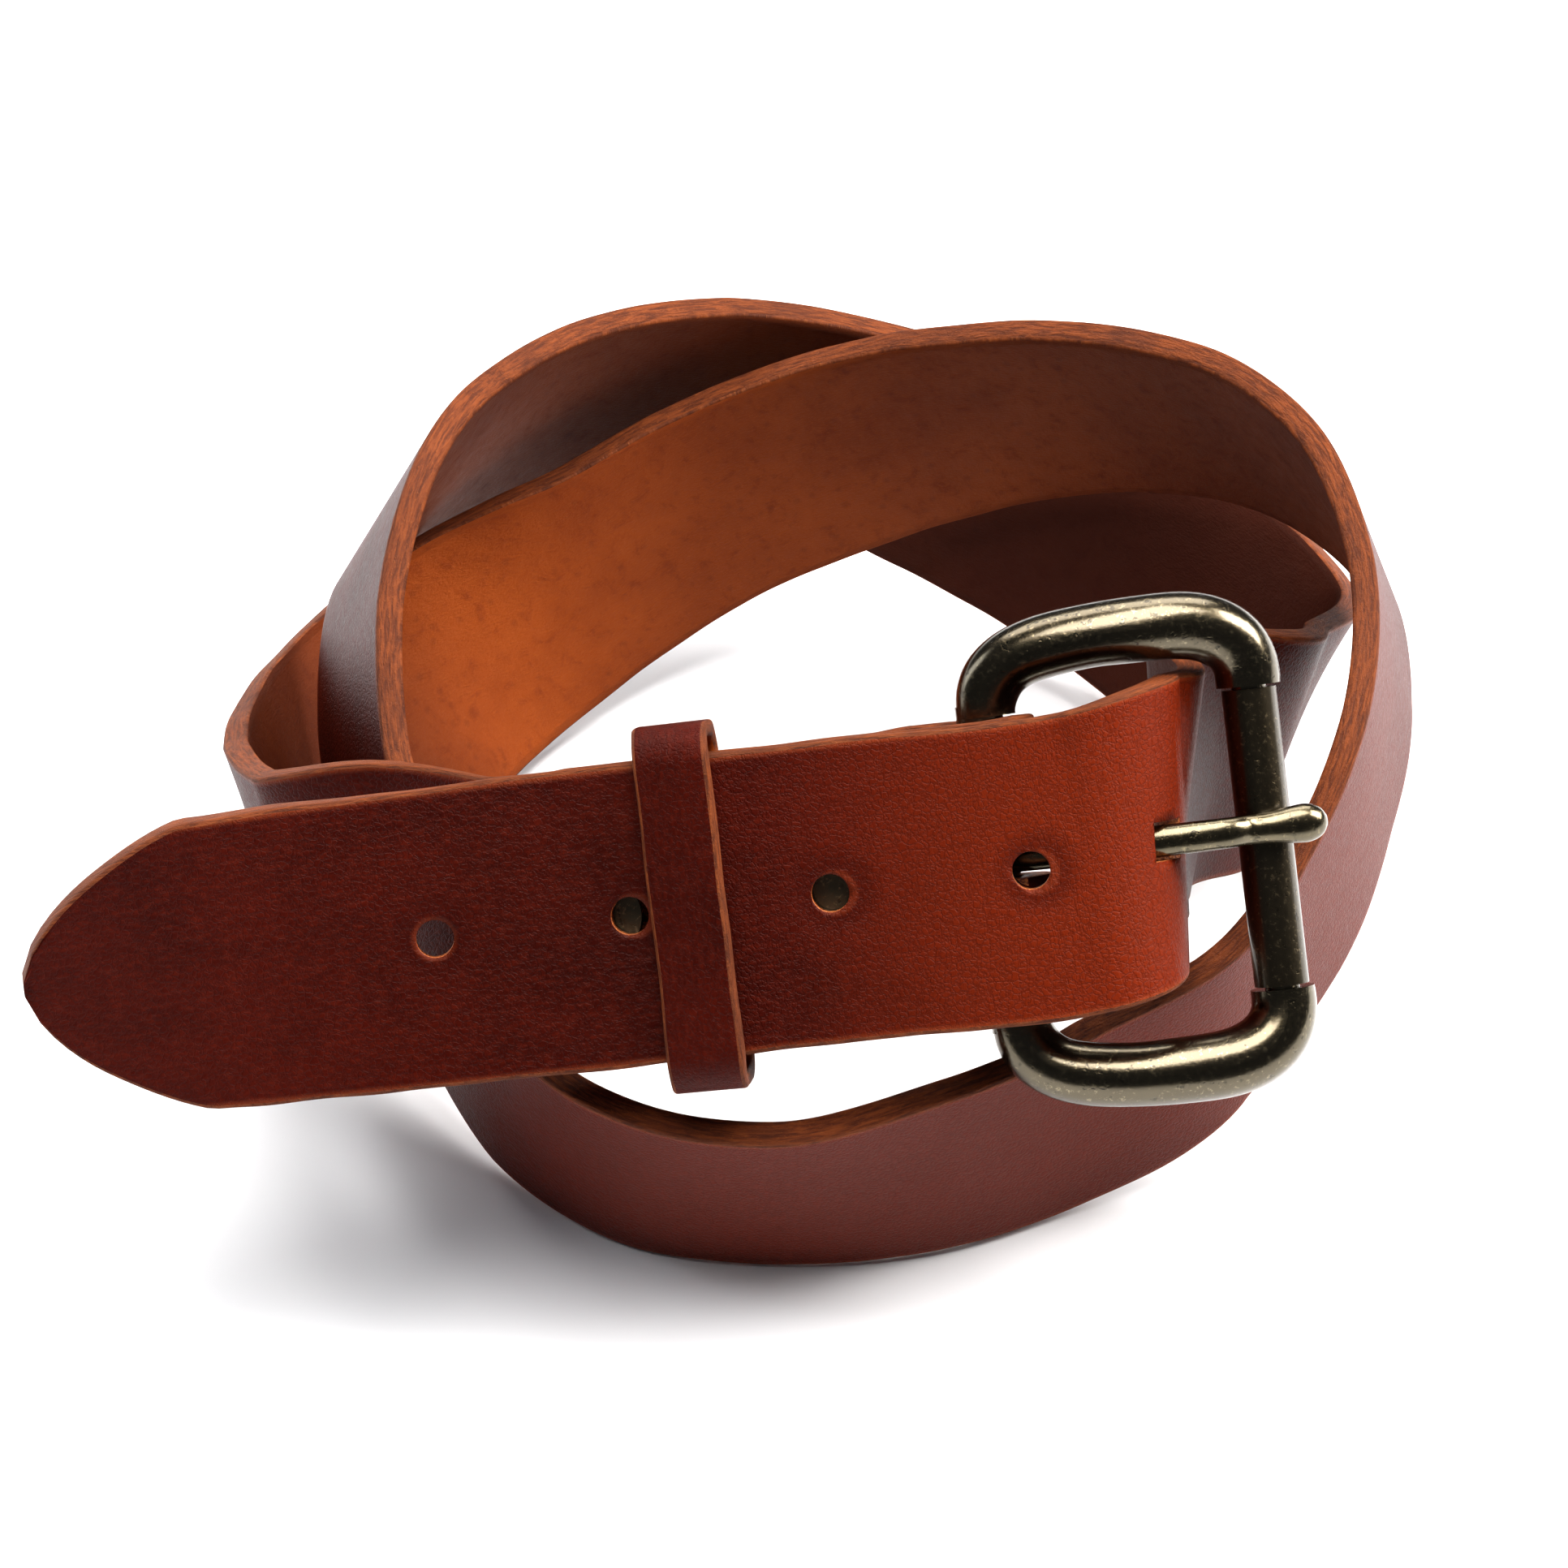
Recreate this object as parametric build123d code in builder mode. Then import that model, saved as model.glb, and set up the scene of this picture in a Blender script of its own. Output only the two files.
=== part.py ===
from build123d import *
import math
import os

os.makedirs("parts", exist_ok=True)

# Leather belt, buckled and laid down in two turns on its edges.
# Millimetres, +Z up, origin on the surface under the middle of the belt.

# ---- driving dimensions -------------------------------------------------
strap_width = 38.0
strap_thick = 3.6
hole_dia = 4.8
tip_point_length = 21.5
heel_bar_dia = 6.0
fold_play = 0.3
layer_gap = 0.4
fold_length = 62.0
tongue_slot_width = 5.4
roller_dia = 7.0
roller_bore = 4.64
roller_bar_dia = 4.5
roller_length = 38.0
heel_to_roller = 34.4
frame_tilt = 4.0
arm_start = 19.4
keeper_width = 10.0
keeper_thick = 2.0
keeper_place = -38.7
screw_places = (-22.4, -49.8)
post_head_dia = 9.5
post_head_thick = 1.1
post_dia = 5.0
tongue_width = 4.0
tongue_thick = 2.8
tongue_v = 1.4
tongue_hole_turn = 62.0

# ---- frame of the buckle: u to the roller, v up the strap, n outwards ----
belt_shift = Vector(2.59, 26.05, 0.29)
buckle_at = Vector(28.0, -76.0, 60.7) + belt_shift
buckle = Plane(origin=buckle_at, x_dir=(0.99, 0.034, 0.124), z_dir=(-0.058, -0.77, 0.635))
along_u = buckle.x_dir
along_v = buckle.y_dir
along_n = buckle.z_dir


def local(u, v, n):
    """Point of the buckle frame in world millimetres."""
    return buckle_at + along_u * u + along_v * v + along_n * n


# Grain faces of the two strap layers at the buckle, measured along n.
fold_inner = heel_bar_dia / 2 + fold_play
fold_outer = fold_inner + strap_thick
near_grain = fold_outer
free_grain = near_grain + 5.1
bend_start = 10.0
bend_radius = 14.5
bend_rise = 3.0
section_step = 7.0


def across_from_lean(ahead, lean):
    """Direction across the strap, from the lean of the strap away from upright, in degrees."""
    upright = (Vector(0, 0, 1) - ahead * ahead.Z).normalized()
    outward = upright.cross(ahead)
    a = math.radians(lean)
    return upright * math.cos(a) + outward * math.sin(a)


def lean_from_across(ahead, across):
    """Lean of the strap in degrees, from the direction across it."""
    upright = (Vector(0, 0, 1) - ahead * ahead.Z).normalized()
    outward = upright.cross(ahead)
    return math.degrees(math.atan2(across.dot(outward), across.dot(upright)))


# Each section of the strap: middle of the grain side, direction ahead, direction across.
sections = []

# Fold: from its end behind the near layer, round the heel bar, to the near layer.
fold_grain = near_grain - 2 * strap_thick - layer_gap
fold_stations = (
    (-fold_length, fold_grain),
    (-40.0, fold_grain),
    (-17.5, fold_grain),
    (-13.5, fold_grain - 0.8),
    (-8.5, 1.4 - fold_outer),
    (-4.5, 0.3 - fold_outer),
)
for number, (u, n) in enumerate(fold_stations):
    before = fold_stations[max(number - 1, 0)]
    after = fold_stations[min(number + 1, len(fold_stations) - 1)]
    ahead = along_u * (after[0] - before[0]) + along_n * (after[1] - before[1])
    sections.append((local(u, 0, n), ahead.normalized(), along_v))
for turn in range(180, -1, -20):
    a = math.radians(turn)
    place = local(fold_outer * math.sin(a), 0, fold_outer * math.cos(a))
    ahead = along_n * math.sin(a) - along_u * math.cos(a)
    sections.append((place, ahead, along_v))

# Free run of the strap in two turns: x, y, z of the middle of the grain side, lean outwards.
route = (
    (-52, -70, 48, -20),
    (-64, -60, 38, -1),
    (-69, -41, 27, 18),
    (-66, -21, 19, 35),
    (-58, -1, 15, 45),
    (-46, 16, 17, 28),
    (-29, 28, 22, 10),
    (-10, 36, 30, 1),
    (10, 39, 38, -5),
    (30, 37, 46, -14),
    (50, 30, 53, -21),
    (68, 18, 57, -24),
    (80, 1, 57, -23),
    (84, -20, 52, -14),
    (81, -41, 45, -4),
    (73, -58, 35, 2),
    (60, -73, 27, 8),
    (41, -82, 20, 8),
    (21, -91, 19, 12),
    (0, -95, 18, 19),
    (-22, -90, 18, 16),
    (-38, -76, 20, 8),
    (-48, -58, 27, 0),
    (-56, -39, 36, -6),
    (-59, -19, 46, -17),
    (-56, 2, 53, -26),
    (-47, 22, 51, -25),
    (-32, 37, 48.5, -21),
    (-13, 45, 44, -12),
    (7, 48, 37, -4),
    (27, 47, 28, 10),
    (46, 41, 20, 24),
    (63, 28, 15, 38),
    (73, 9, 15, 38),
    (72, -11, 22, 9),
    (60, -27, 34, -7),
    (54, -45, 49, -9),
)

stations = []
flat_lean = lean_from_across(along_u * -1, along_v)
for u in (-14.0, -34.0, -54.5, -61.0):
    stations.append((local(u, 0, near_grain), flat_lean))
for x, y, z, lean in route:
    stations.append((Vector(x, y, z) + belt_shift, lean))
for turn in range(88, -1, -11):
    a = math.radians(turn)
    place = local(
        bend_start + bend_radius * math.sin(a),
        bend_rise * math.sin(a) ** 1.5,
        free_grain - bend_radius + bend_radius * math.cos(a),
    )
    ahead = along_n * math.sin(a) - along_u * math.cos(a)
    across = along_v + (along_u * 0.09 + along_n * 0.12) * math.sin(a) ** 2
    stations.append((place, lean_from_across(ahead, across)))
free_end = (
    (-14.0, 0.0, 0.0),
    (-34.0, 0.0, 0.0),
    (-52.0, 0.0, 0.0),
    (-69.0, 1.0, 3.0),
    (-86.5, 3.5, 9.0),
    (-104.0, 7.0, 15.0),
    (-121.5, 10.5, 20.0),
)
for u, rise, twist in free_end:
    stations.append((local(u, 0, free_grain + rise), flat_lean + twist))

# Smooth curve through the stations, with tangents taken from both neighbours.
reach = [0.0]
for (start, _), (end, _) in zip(stations, stations[1:]):
    reach.append(reach[-1] + (end - start).length)


def slope(number):
    """Change of place and of lean per millimetre at one station."""
    low = max(number - 1, 0)
    high = min(number + 1, len(stations) - 1)
    parts = []
    for start, end in ((low, number), (number, high)):
        if start == end:
            continue
        run = reach[end] - reach[start]
        move = (stations[end][0] - stations[start][0]) * (1 / run)
        parts.append((run, move, (stations[end][1] - stations[start][1]) / run))
    if len(parts) == 1:
        return parts[0][1], parts[0][2]
    (run_a, move_a, lean_a), (run_b, move_b, lean_b) = parts
    share = run_b / (run_a + run_b)
    return move_a * share + move_b * (1 - share), lean_a * share + lean_b * (1 - share)


def on_curve(number, t):
    """Section at a fraction t of the way from one station to the next."""
    run = reach[number + 1] - reach[number]
    place_a, lean_a = stations[number]
    place_b, lean_b = stations[number + 1]
    move_a, turn_a = slope(number)
    move_b, turn_b = slope(number + 1)
    h00 = 2 * t**3 - 3 * t**2 + 1
    h10 = (t**3 - 2 * t**2 + t) * run
    h01 = 3 * t**2 - 2 * t**3
    h11 = (t**3 - t**2) * run
    place = place_a * h00 + move_a * h10 + place_b * h01 + move_b * h11
    lean = lean_a * h00 + turn_a * h10 + lean_b * h01 + turn_b * h11
    d00 = (6 * t**2 - 6 * t) / run
    d10 = 3 * t**2 - 4 * t + 1
    d11 = 3 * t**2 - 2 * t
    ahead = (place_a - place_b) * d00 + move_a * d10 + move_b * d11
    ahead = ahead.normalized()
    return place, ahead, across_from_lean(ahead, lean)


for number in range(len(stations) - 1):
    count = max(1, round((reach[number + 1] - reach[number]) / section_step))
    for step in range(count):
        sections.append(on_curve(number, step / count))
sections.append(on_curve(len(stations) - 2, 1.0))


def section_plane(place, ahead, across):
    """Plane across the strap: x across it, y towards the flesh side."""
    return Plane(origin=place, x_dir=across, z_dir=ahead)


# ---- strap -----------------------------------------------------------------
with BuildPart() as strap:
    for place, ahead, across in sections:
        with BuildSketch(section_plane(place, ahead, across)):
            Rectangle(strap_width, strap_thick, align=(Align.CENTER, Align.MIN))
    loft(ruled=True)


# Pointed tip, both long edges slightly bowed.
tip_u = -121.5
shoulder_u = tip_u + tip_point_length
nose_u = tip_u + 0.6
for side in (1, -1):
    with BuildPart(mode=Mode.PRIVATE) as tip_cutter:
        with BuildSketch(Plane(origin=local(0, 0, -4), x_dir=along_u, z_dir=along_n)):
            with BuildLine():
                Polyline((tip_u - 9, 0), (tip_u, 0), (nose_u, side * 2.4))
                ThreePointArc(
                    (nose_u, side * 2.4),
                    (tip_u + 9.0, side * 13.2),
                    (shoulder_u, side * 19.2),
                )
                Polyline((shoulder_u, side * 19.2), (shoulder_u, side * 27), (tip_u - 9, side * 27), (tip_u - 9, 0))
            make_face()
        extrude(amount=44)
    strap.part = strap.part - tip_cutter.part

# Round cutters: tongue holes in the free end, then the screw holes in both layers of the fold.
hole_places = (
    (-71.0, free_grain + 1.2, 6.4),
    (-46.2, free_grain, 0.0),
    (-20.8, free_grain, 0.0),
    (4.5, free_grain, 0.0),
)


def tilted(turn):
    """Direction in the u-n plane, turned from n towards u, in degrees."""
    a = math.radians(turn)
    return along_n * math.cos(a) + along_u * math.sin(a)


cutters = []
for u, n, turn in hole_places:
    hole = Cylinder(hole_dia / 2, 12, mode=Mode.PRIVATE)
    cutters.append(Plane(origin=local(u, 0, n - strap_thick / 2), z_dir=tilted(turn)) * hole)
for u in screw_places:
    hole = Cylinder(post_dia / 2 + 0.06, 10.4, mode=Mode.PRIVATE)
    cutters.append(Plane(origin=local(u, 0, near_grain - 4.2), z_dir=along_n) * hole)

# Slot in the fold for the root of the tongue.
slot_block = Box(14, tongue_slot_width, 14.2, mode=Mode.PRIVATE)
cutters.append(Plane(origin=local(0, tongue_v, 0), x_dir=along_u, z_dir=along_n) * slot_block)

# Height of the middle of the tongue over the heel bar, where it crosses the strap.
shaft_n = roller_dia / 2 + 0.2 + tongue_thick / 2

# The hole that the tongue is in: round through the leather, worn longer where the tongue crosses.
hole_turn = math.radians(tongue_hole_turn)
hole_reach = bend_radius - strap_thick / 2
hole_u = bend_start + hole_reach * math.sin(hole_turn)
hole_n = free_grain - bend_radius + hole_reach * math.cos(hole_turn)
worn_hole = Cylinder(hole_dia / 2, 9, mode=Mode.PRIVATE)
cutters.append(Plane(origin=local(hole_u, tongue_v, hole_n), z_dir=tilted(tongue_hole_turn)) * worn_hole)
worn_slot = Box(14, tongue_width + 1.0, tongue_thick + 2.4, mode=Mode.PRIVATE)
cutters.append(Plane(origin=local(hole_u, tongue_v, shaft_n), x_dir=along_u, z_dir=along_n) * worn_slot)
for cutter in cutters:
    strap.part = strap.part - cutter
strap.part.label = "strap"
export_step(strap.part, "parts/strap.step")

# ---- buckle frame ------------------------------------------------------------
tilt = math.radians(frame_tilt)
along_p = along_u * math.cos(tilt) - along_n * math.sin(tilt)
along_q = along_u * math.sin(tilt) + along_n * math.cos(tilt)


def on_frame(p, v, q):
    """Point of the tilted frame: p from heel bar to roller, v along the bars, q outwards."""
    return buckle_at + along_p * p + along_v * v + along_q * q


# One arm from heel bar to roller bar: p, v, q and radius of each round section.
arm = (
    (0.9, 19.4, 0.0, 3.8),
    (1.1, 21.6, 0.1, 3.9),
    (3.2, 25.0, 0.5, 4.0),
    (7.2, 27.0, 1.2, 4.05),
    (12.6, 27.9, 1.9, 4.1),
    (18.2, 28.2, 2.2, 4.2),
    (24.0, 28.2, 2.0, 4.3),
    (29.0, 27.5, 1.3, 4.35),
    (32.7, 25.3, 0.6, 4.3),
    (34.3, 22.2, 0.1, 4.2),
    (34.4, 19.4, 0.0, 4.1),
)


def build_arm(side):
    """Arm on one side, lofted through round sections."""
    points = [on_frame(p, side * v, q) for p, v, q, _ in arm]
    with BuildPart(mode=Mode.PRIVATE) as one_arm:
        for number, point in enumerate(points):
            if number == 0:
                ahead = along_v * side
            elif number == len(points) - 1:
                ahead = along_v * -side
            else:
                ahead = (points[number + 1] - points[number - 1]).normalized()
            with BuildSketch(Plane(origin=point, x_dir=along_q, z_dir=ahead)):
                Circle(arm[number][3])
        loft()
    return one_arm.part


with BuildPart() as buckle_frame:
    add(build_arm(1))
    add(build_arm(-1))
    with Locations(Plane(origin=on_frame(0, 0, 0), x_dir=along_p, z_dir=along_v)):
        Cylinder(heel_bar_dia / 2, 2 * arm_start + 3.0)
    with Locations(Plane(origin=on_frame(heel_to_roller, 0, 0), x_dir=along_p, z_dir=along_v)):
        Cylinder(roller_bar_dia / 2, 2 * arm_start + 4.0)
buckle_frame.part.label = "buckle_frame"
export_step(buckle_frame.part, "parts/buckle_frame.step")

# ---- roller ------------------------------------------------------------------
with BuildPart() as roller:
    with Locations(Plane(origin=on_frame(heel_to_roller, 0, 0), x_dir=along_p, z_dir=along_v)):
        Cylinder(roller_dia / 2, roller_length)
        Cylinder(roller_bore / 2, roller_length, mode=Mode.SUBTRACT)
roller.part.label = "roller"
export_step(roller.part, "parts/roller.step")

# ---- tongue ------------------------------------------------------------------
roller_centre = on_frame(heel_to_roller, 0, 0) - buckle_at
roller_u = roller_centre.dot(along_u)
roller_n = roller_centre.dot(along_n)
rest_n = roller_n + roller_dia / 2 + 0.3 + tongue_thick / 2
root_radius = heel_bar_dia / 2 + 2.4
ring_play = 0.06
half = tongue_thick / 2
with BuildPart() as tongue:
    with BuildSketch(Plane(origin=local(0, tongue_v - tongue_width / 2, 0), x_dir=along_u, z_dir=along_v)):
        with BuildLine():
            ThreePointArc((0.0, -root_radius), (hole_u, -shaft_n - half), (roller_u + 4.4, -rest_n - half + 0.5))
            Line((roller_u + 4.4, -rest_n - half + 0.5), (roller_u + 4.0, -rest_n + half + 0.5))
            ThreePointArc((roller_u + 4.0, -rest_n + half + 0.5), (hole_u, -shaft_n + half), (4.2, -2.9))
            Line((4.2, -2.9), (0.0, -root_radius))
        make_face()
    extrude(amount=tongue_width)
    with Locations(Plane(origin=local(0, tongue_v, 0), x_dir=along_u, z_dir=along_v)):
        Cylinder(root_radius, tongue_width)
        Cylinder(heel_bar_dia / 2 + ring_play, tongue_width, mode=Mode.SUBTRACT)
    with Locations(Plane(origin=local(roller_u + 5.0, tongue_v, rest_n - 1.1), x_dir=along_u, z_dir=along_v)):
        Sphere(2.35)
tongue.part.label = "tongue"
export_step(tongue.part, "parts/tongue.step")

# ---- keeper and its staple ----------------------------------------------------
stack_low = fold_grain
stack_high = free_grain
keeper_mid = (stack_low + stack_high) / 2
keeper_inner_n = stack_high - stack_low + 0.8
keeper_inner_v = strap_width + 4.4
wire = 0.9
staple_half = 4.0
with BuildPart() as keeper:
    start = local(keeper_place - keeper_width / 2, 0, keeper_mid)
    with BuildSketch(Plane(origin=start, x_dir=along_v, z_dir=along_u)):
        RectangleRounded(keeper_inner_v + 2 * keeper_thick, keeper_inner_n + 2 * keeper_thick, 5.2)
        RectangleRounded(keeper_inner_v, keeper_inner_n, 3.2, mode=Mode.SUBTRACT)
    extrude(amount=keeper_width)
back_inner_n = keeper_mid - keeper_inner_n / 2
back_outer_n = back_inner_n - keeper_thick
seam = Box(keeper_width + 2, 0.3, keeper_thick + 1, mode=Mode.PRIVATE)
seam_place = Plane(origin=local(keeper_place, 0, back_outer_n + keeper_thick / 2), x_dir=along_u, z_dir=along_n)
keeper.part = keeper.part - seam_place * seam
for side in (1, -1):
    leg_hole = Cylinder(wire / 2 + 0.02, keeper_thick + 2, mode=Mode.PRIVATE)
    leg_place = Plane(origin=local(keeper_place, side * staple_half, back_outer_n + 1), z_dir=along_n)
    keeper.part = keeper.part - leg_place * leg_hole
keeper.part.label = "keeper"
export_step(keeper.part, "parts/keeper.step")

with BuildPart() as keeper_staple:
    crown_n = back_outer_n - wire / 2
    with Locations(Plane(origin=local(keeper_place, 0, crown_n), x_dir=along_u, z_dir=along_v)):
        Cylinder(wire / 2, 2 * staple_half + wire)
    for side in (1, -1):
        middle = local(keeper_place, side * staple_half, (crown_n + back_inner_n) / 2)
        with Locations(Plane(origin=middle, x_dir=along_u, z_dir=along_n)):
            Cylinder(wire / 2, back_inner_n - crown_n)
keeper_staple.part.label = "keeper_staple"
export_step(keeper_staple.part, "parts/keeper_staple.step")

# ---- screw posts and screws ----------------------------------------------------
shank_dia = 3.2
bore_play = 0.04
post_length = near_grain - fold_grain - 0.5
for name, u in (("near", screw_places[0]), ("far", screw_places[1])):
    with BuildPart() as post:
        with Locations(Plane(origin=local(u, 0, near_grain + post_head_thick / 2), x_dir=along_u, z_dir=along_n)):
            Cylinder(post_head_dia / 2, post_head_thick)
        with Locations(Plane(origin=local(u, 0, near_grain - post_length / 2), x_dir=along_u, z_dir=along_n)):
            Cylinder(post_dia / 2, post_length)
            Cylinder(shank_dia / 2 + bore_play, post_length, mode=Mode.SUBTRACT)
    post.part.label = "screw_post_" + name
    export_step(post.part, "parts/screw_post_" + name + ".step")
    with BuildPart() as screw:
        with Locations(Plane(origin=local(u, 0, fold_grain - post_head_thick / 2), x_dir=along_u, z_dir=along_n)):
            Cylinder(post_head_dia / 2, post_head_thick)
        with Locations(Plane(origin=local(u, 0, fold_grain + 2.9), x_dir=along_u, z_dir=along_n)):
            Cylinder(shank_dia / 2, 5.8)
        with Locations(Plane(origin=local(u, 0, fold_grain - post_head_thick), x_dir=along_u, z_dir=along_n)):
            Box(post_head_dia + 1, 1.2, 1.2, mode=Mode.SUBTRACT)
    screw.part.label = "screw_" + name
    export_step(screw.part, "parts/screw_" + name + ".step")

box = strap.part.bounding_box()
print("strap", box.min, box.max, "sections", len(sections), "volume", round(strap.part.volume))
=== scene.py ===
import math

import bpy
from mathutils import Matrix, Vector, noise


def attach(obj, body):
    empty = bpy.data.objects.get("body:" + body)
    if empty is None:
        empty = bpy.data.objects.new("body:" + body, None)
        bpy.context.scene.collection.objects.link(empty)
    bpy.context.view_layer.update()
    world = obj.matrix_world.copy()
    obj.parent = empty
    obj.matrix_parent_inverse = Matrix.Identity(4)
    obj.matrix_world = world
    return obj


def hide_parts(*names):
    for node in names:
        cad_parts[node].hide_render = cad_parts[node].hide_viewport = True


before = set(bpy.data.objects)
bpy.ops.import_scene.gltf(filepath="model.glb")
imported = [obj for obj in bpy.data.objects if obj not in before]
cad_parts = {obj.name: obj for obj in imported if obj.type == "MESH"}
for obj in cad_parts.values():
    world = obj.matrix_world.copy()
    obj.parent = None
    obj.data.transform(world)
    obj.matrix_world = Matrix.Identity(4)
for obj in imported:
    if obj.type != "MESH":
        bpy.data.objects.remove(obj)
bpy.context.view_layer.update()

# Leather belt, buckled and laid down in two turns on its edges.
# Blender works in metres; the sizes and the route below are in millimetres, as in part.py.
MM = 0.001

# ---- driving dimensions, as in part.py ----------------------------------
strap_width = 38.0
strap_thick = 3.6
hole_dia = 4.8
tip_point_length = 21.5
heel_bar_dia = 6.0
fold_play = 0.3
layer_gap = 0.4
fold_length = 62.0
tongue_slot_width = 5.4
roller_dia = 7.0
heel_to_roller = 34.4
frame_tilt = 4.0
keeper_width = 10.0
keeper_thick = 2.0
keeper_place = -38.7
screw_places = (-22.4, -49.8)
post_dia = 5.0
tongue_width = 4.0
tongue_thick = 2.8
tongue_v = 1.4
tongue_hole_turn = 62.0
bend_start = 10.0
bend_radius = 14.5
bend_rise = 3.0

fold_outer = heel_bar_dia / 2 + fold_play + strap_thick
near_grain = fold_outer
free_grain = near_grain + 5.1
fold_grain = near_grain - 2 * strap_thick - layer_gap

# ---- sizes that only the looks need ---------------------------------------
hole_pitch = 25.4
section_step = 1.5
strap_columns = 26
keeper_columns = 10
keeper_gape = 15.0
corner = 0.55
fold_end_round = 9.0
least_half_width = 0.9
punch_length = 9.0

# Kinds of face on a strip, which are also the numbers of its materials.
GRAIN, EDGE, FLESH = range(3)

# ---- frame of the buckle: u to the roller, v up the strap, n outwards ----
belt_shift = Vector((2.59, 26.05, 0.29))
buckle_at = Vector((28.0, -76.0, 60.7)) + belt_shift
along_n = Vector((-0.058, -0.77, 0.635)).normalized()
along_v = along_n.cross(Vector((0.99, 0.034, 0.124))).normalized()
along_u = along_v.cross(along_n)


def local(u, v, n):
    """Point of the buckle frame in world millimetres."""
    return buckle_at + along_u * u + along_v * v + along_n * n


# ---- route of the strap -----------------------------------------------------
def upright_and_outward(ahead):
    """Directions across a strap that runs ahead and stands upright, and out of its face."""
    upright = (Vector((0, 0, 1)) - ahead * ahead.z).normalized()
    return upright, upright.cross(ahead)


def across_from_lean(ahead, lean):
    """Direction across the strap, from its lean away from upright, in degrees."""
    upright, outward = upright_and_outward(ahead)
    a = math.radians(lean)
    return upright * math.cos(a) + outward * math.sin(a)


def lean_from_across(ahead, across):
    """Lean of the strap in degrees, from the direction across it."""
    upright, outward = upright_and_outward(ahead)
    return math.degrees(math.atan2(across.dot(outward), across.dot(upright)))


# End of the fold, up to the heel bar: u and n of the grain side.
fold_stations = (
    (-fold_length, fold_grain),
    (-40.0, fold_grain),
    (-17.5, fold_grain),
    (-13.5, fold_grain - 0.8),
    (-8.5, 1.4 - fold_outer),
    (-4.5, 0.3 - fold_outer),
)

# Free run of the strap in two turns: x, y, z of the middle of the grain side, lean outwards.
route = (
    (-52, -70, 48, -20),
    (-64, -60, 38, -1),
    (-69, -41, 27, 18),
    (-66, -21, 19, 35),
    (-58, -1, 15, 45),
    (-46, 16, 17, 28),
    (-29, 28, 22, 10),
    (-10, 36, 30, 1),
    (10, 39, 38, -5),
    (30, 37, 46, -14),
    (50, 30, 53, -21),
    (68, 18, 57, -24),
    (80, 1, 57, -23),
    (84, -20, 52, -14),
    (81, -41, 45, -4),
    (73, -58, 35, 2),
    (60, -73, 27, 8),
    (41, -82, 20, 8),
    (21, -91, 19, 12),
    (0, -95, 18, 19),
    (-22, -90, 18, 16),
    (-38, -76, 20, 8),
    (-48, -58, 27, 0),
    (-56, -39, 36, -6),
    (-59, -19, 46, -17),
    (-56, 2, 53, -26),
    (-47, 22, 51, -25),
    (-32, 37, 48.5, -21),
    (-13, 45, 44, -12),
    (7, 48, 37, -4),
    (27, 47, 28, 10),
    (46, 41, 20, 24),
    (63, 28, 15, 38),
    (73, 9, 15, 38),
    (72, -11, 22, 9),
    (60, -27, 34, -7),
    (54, -45, 49, -9),
)

stations = []
flat_lean = lean_from_across(along_u * -1, along_v)
for u in (-14.0, -34.0, -54.5, -61.0):
    stations.append((local(u, 0, near_grain), flat_lean))
for x, y, z, lean in route:
    stations.append((Vector((x, y, z)) + belt_shift, lean))
for turn in range(88, -1, -11):
    a = math.radians(turn)
    place = local(
        bend_start + bend_radius * math.sin(a),
        bend_rise * math.sin(a) ** 1.5,
        free_grain - bend_radius + bend_radius * math.cos(a),
    )
    ahead = along_n * math.sin(a) - along_u * math.cos(a)
    across = along_v + (along_u * 0.09 + along_n * 0.12) * math.sin(a) ** 2
    stations.append((place, lean_from_across(ahead, across)))
free_end = (
    (-14.0, 0.0, 0.0),
    (-34.0, 0.0, 0.0),
    (-52.0, 0.0, 0.0),
    (-69.0, 1.0, 3.0),
    (-86.5, 3.5, 9.0),
    (-104.0, 7.0, 15.0),
    (-121.5, 10.5, 20.0),
)
for u, rise, twist in free_end:
    stations.append((local(u, 0, free_grain + rise), flat_lean + twist))


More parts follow.
